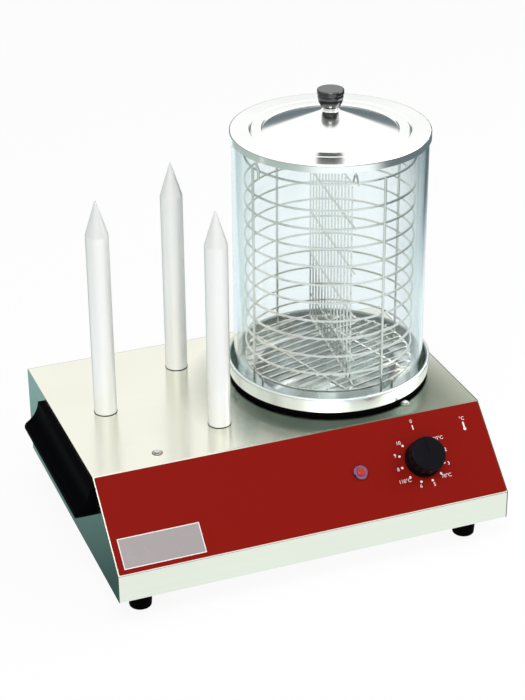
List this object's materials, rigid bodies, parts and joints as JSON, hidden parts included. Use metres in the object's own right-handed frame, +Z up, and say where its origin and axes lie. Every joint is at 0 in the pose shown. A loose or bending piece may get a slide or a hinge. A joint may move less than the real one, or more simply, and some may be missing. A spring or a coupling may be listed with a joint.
{
  "type": "hot dog machine",
  "caption": "Counter-top hot dog machine: a sheet-steel base with a sloped front holds a lidded glass steam cylinder with a wire basket, and heated spikes for rolls.",
  "frame": {"origin": "on the floor, under the middle of the whole machine's box", "axes": "+X to the right of the user, +Y from the sloped front to the back, +Z up"},
  "size_m": [0.411, 0.316, 0.4175],
  "materials": {
    "sheet_steel": "brushed",
    "bowl_steel": "satin",
    "polished_steel": "polished",
    "spike_aluminium": "satin",
    "spreader_aluminium": "cast",
    "basket_wire": "bright",
    "fastener_steel": "plain",
    "heater_steel": "heat darkened",
    "red_panel": "satin",
    "clear_glass": "clear",
    "black_rubber": "matte",
    "black_plastic": "satin",
    "knob_plastic": "satin",
    "grey_plastic": "moulded",
    "lamp_bezel": "gloss",
    "red_lens": "gloss",
    "copper": "drawn"
  },
  "bodies": {
    "housing": {"top_cover": "sheet_steel", "side_panel_left": "sheet_steel", "side_panel_right": "sheet_steel", "back_panel": "sheet_steel", "base_plate": "sheet_steel", "deck_crossbar": "sheet_steel", "front_overlay": "red_panel", "foot_front_left": "black_rubber", "foot_front_right": "black_rubber", "foot_back_left": "black_rubber", "foot_back_right": "black_rubber", "handle_left": "black_plastic", "cable_gland": "black_plastic", "gland_locknut": "black_plastic", "spike_left": "spike_aluminium", "spike_rear": "spike_aluminium", "spike_front": "spike_aluminium", "deck_screws": "fastener_steel", "base_screws": "fastener_steel", "back_screws": "fastener_steel", "handle_screws": "fastener_steel", "foot_screws": "fastener_steel", "thermostat_screws": "fastener_steel", "foot_nuts": "fastener_steel", "spike_nuts": "fastener_steel", "bowl_nuts": "fastener_steel", "heater_nut": "fastener_steel", "lamp_nut": "fastener_steel", "water_bowl": "bowl_steel", "bowl_seat_ring": "black_rubber", "heater_plate": "spreader_aluminium", "bowl_heater": "heater_steel", "spike_heaters": "heater_steel", "heater_clamp": "fastener_steel", "lamp_body": "lamp_bezel", "lamp_lens": "red_lens", "thermostat_body": "grey_plastic", "thermostat_probe": "copper", "terminal_block": "grey_plastic"},
    "glass": {"glass_cylinder": "clear_glass"},
    "basket": {"basket_hoops": "basket_wire", "basket_uprights": "basket_wire", "basket_rack": "basket_wire", "basket_divider": "basket_wire"},
    "lid": {"lid": "polished_steel", "lid_knob_neck": "polished_steel", "lid_knob": "black_plastic", "lid_knob_screw": "fastener_steel"},
    "knob": {"control_knob": "knob_plastic", "thermostat_shaft": "fastener_steel"}
  },
  "joints": [
    {"name": "glass_lift", "type": "slide", "parent": "housing", "child": "glass", "axis": [0, 0, 1], "range_m": [0, 0.25]},
    {"name": "basket_lift", "type": "slide", "parent": "glass", "child": "basket", "axis": [0, 0, 1], "range_m": [0, 0.25]},
    {"name": "lid_lift", "type": "slide", "parent": "basket", "child": "lid", "axis": [0, 0, 1], "range_m": [0, 0.1]},
    {"name": "knob_turn", "type": "hinge", "parent": "housing", "child": "knob", "pos_m": [0.131, -0.12222, 0.09024], "axis": [0, -0.675, 0.7378], "range_deg": [-318, 0]}
  ]
}
